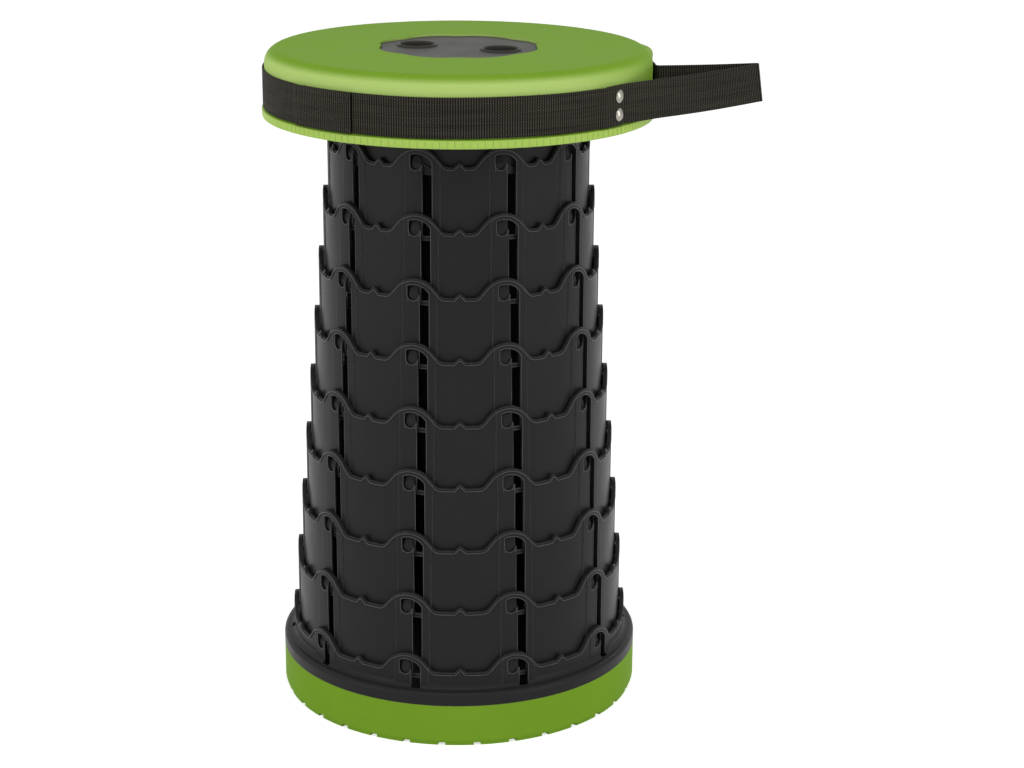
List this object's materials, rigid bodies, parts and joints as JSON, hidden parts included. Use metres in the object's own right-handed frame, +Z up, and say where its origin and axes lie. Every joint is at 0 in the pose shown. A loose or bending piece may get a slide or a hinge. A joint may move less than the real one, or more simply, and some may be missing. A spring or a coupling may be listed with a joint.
{
  "type": "collapsible telescopic stool",
  "caption": "Round collapsible stool of nested sleeves with J-shaped slots and locking pins, a flat seat with finger holes, a treaded base and a webbing carry loop.",
  "frame": {"origin": "middle of the foot ring that the stool stands on", "axes": "+Z up to the seat, -Y to the front, +X to the side of the carry loop"},
  "size_m": [0.333, 0.2612, 0.45],
  "materials": {
    "black_plastic": "moulded polypropylene, satin",
    "green_plastic": "moulded polypropylene, fine matt texture",
    "plate_plastic": "moulded ABS, satin",
    "webbing": "woven polypropylene webbing",
    "rivet_nickel": "nickel plated",
    "screw_steel": "zinc plated"
  },
  "bodies": {
    "base": {"base_sleeve": "black_plastic", "base_cover": "green_plastic", "base_screws": "screw_steel"},
    "sleeve_1": {"sleeve_1": "black_plastic"},
    "sleeve_2": {"sleeve_2": "black_plastic"},
    "sleeve_3": {"sleeve_3": "black_plastic"},
    "sleeve_4": {"sleeve_4": "black_plastic"},
    "sleeve_5": {"sleeve_5": "black_plastic"},
    "sleeve_6": {"sleeve_6": "black_plastic"},
    "sleeve_7": {"sleeve_7": "black_plastic"},
    "sleeve_8": {"sleeve_8": "black_plastic"},
    "seat": {"sleeve_9": "black_plastic", "seat_cover": "green_plastic", "seat_screws": "screw_steel", "finger_plate": "plate_plastic", "finger_plate_screws": "screw_steel", "strap_front": "webbing", "strap_rear": "webbing", "strap_handle": "webbing", "strap_rivets": "rivet_nickel", "rivet_washers": "rivet_nickel"}
  },
  "joints": [
    {"name": "stage_1_slide", "type": "slide", "parent": "base", "child": "sleeve_1", "axis": [0, 0, 1], "range_m": [-0.0379, 0]},
    {"name": "stage_2_slide", "type": "slide", "parent": "sleeve_1", "child": "sleeve_2", "axis": [0, 0, 1], "range_m": [-0.042, 0]},
    {"name": "stage_3_slide", "type": "slide", "parent": "sleeve_2", "child": "sleeve_3", "axis": [0, 0, 1], "range_m": [-0.042, 0]},
    {"name": "stage_4_slide", "type": "slide", "parent": "sleeve_3", "child": "sleeve_4", "axis": [0, 0, 1], "range_m": [-0.042, 0]},
    {"name": "stage_5_slide", "type": "slide", "parent": "sleeve_4", "child": "sleeve_5", "axis": [0, 0, 1], "range_m": [-0.042, 0]},
    {"name": "stage_6_slide", "type": "slide", "parent": "sleeve_5", "child": "sleeve_6", "axis": [0, 0, 1], "range_m": [-0.042, 0]},
    {"name": "stage_7_slide", "type": "slide", "parent": "sleeve_6", "child": "sleeve_7", "axis": [0, 0, 1], "range_m": [-0.042, 0]},
    {"name": "stage_8_slide", "type": "slide", "parent": "sleeve_7", "child": "sleeve_8", "axis": [0, 0, 1], "range_m": [-0.042, 0]},
    {"name": "stage_9_slide", "type": "slide", "parent": "sleeve_8", "child": "seat", "axis": [0, 0, 1], "range_m": [-0.042, 0]}
  ]
}
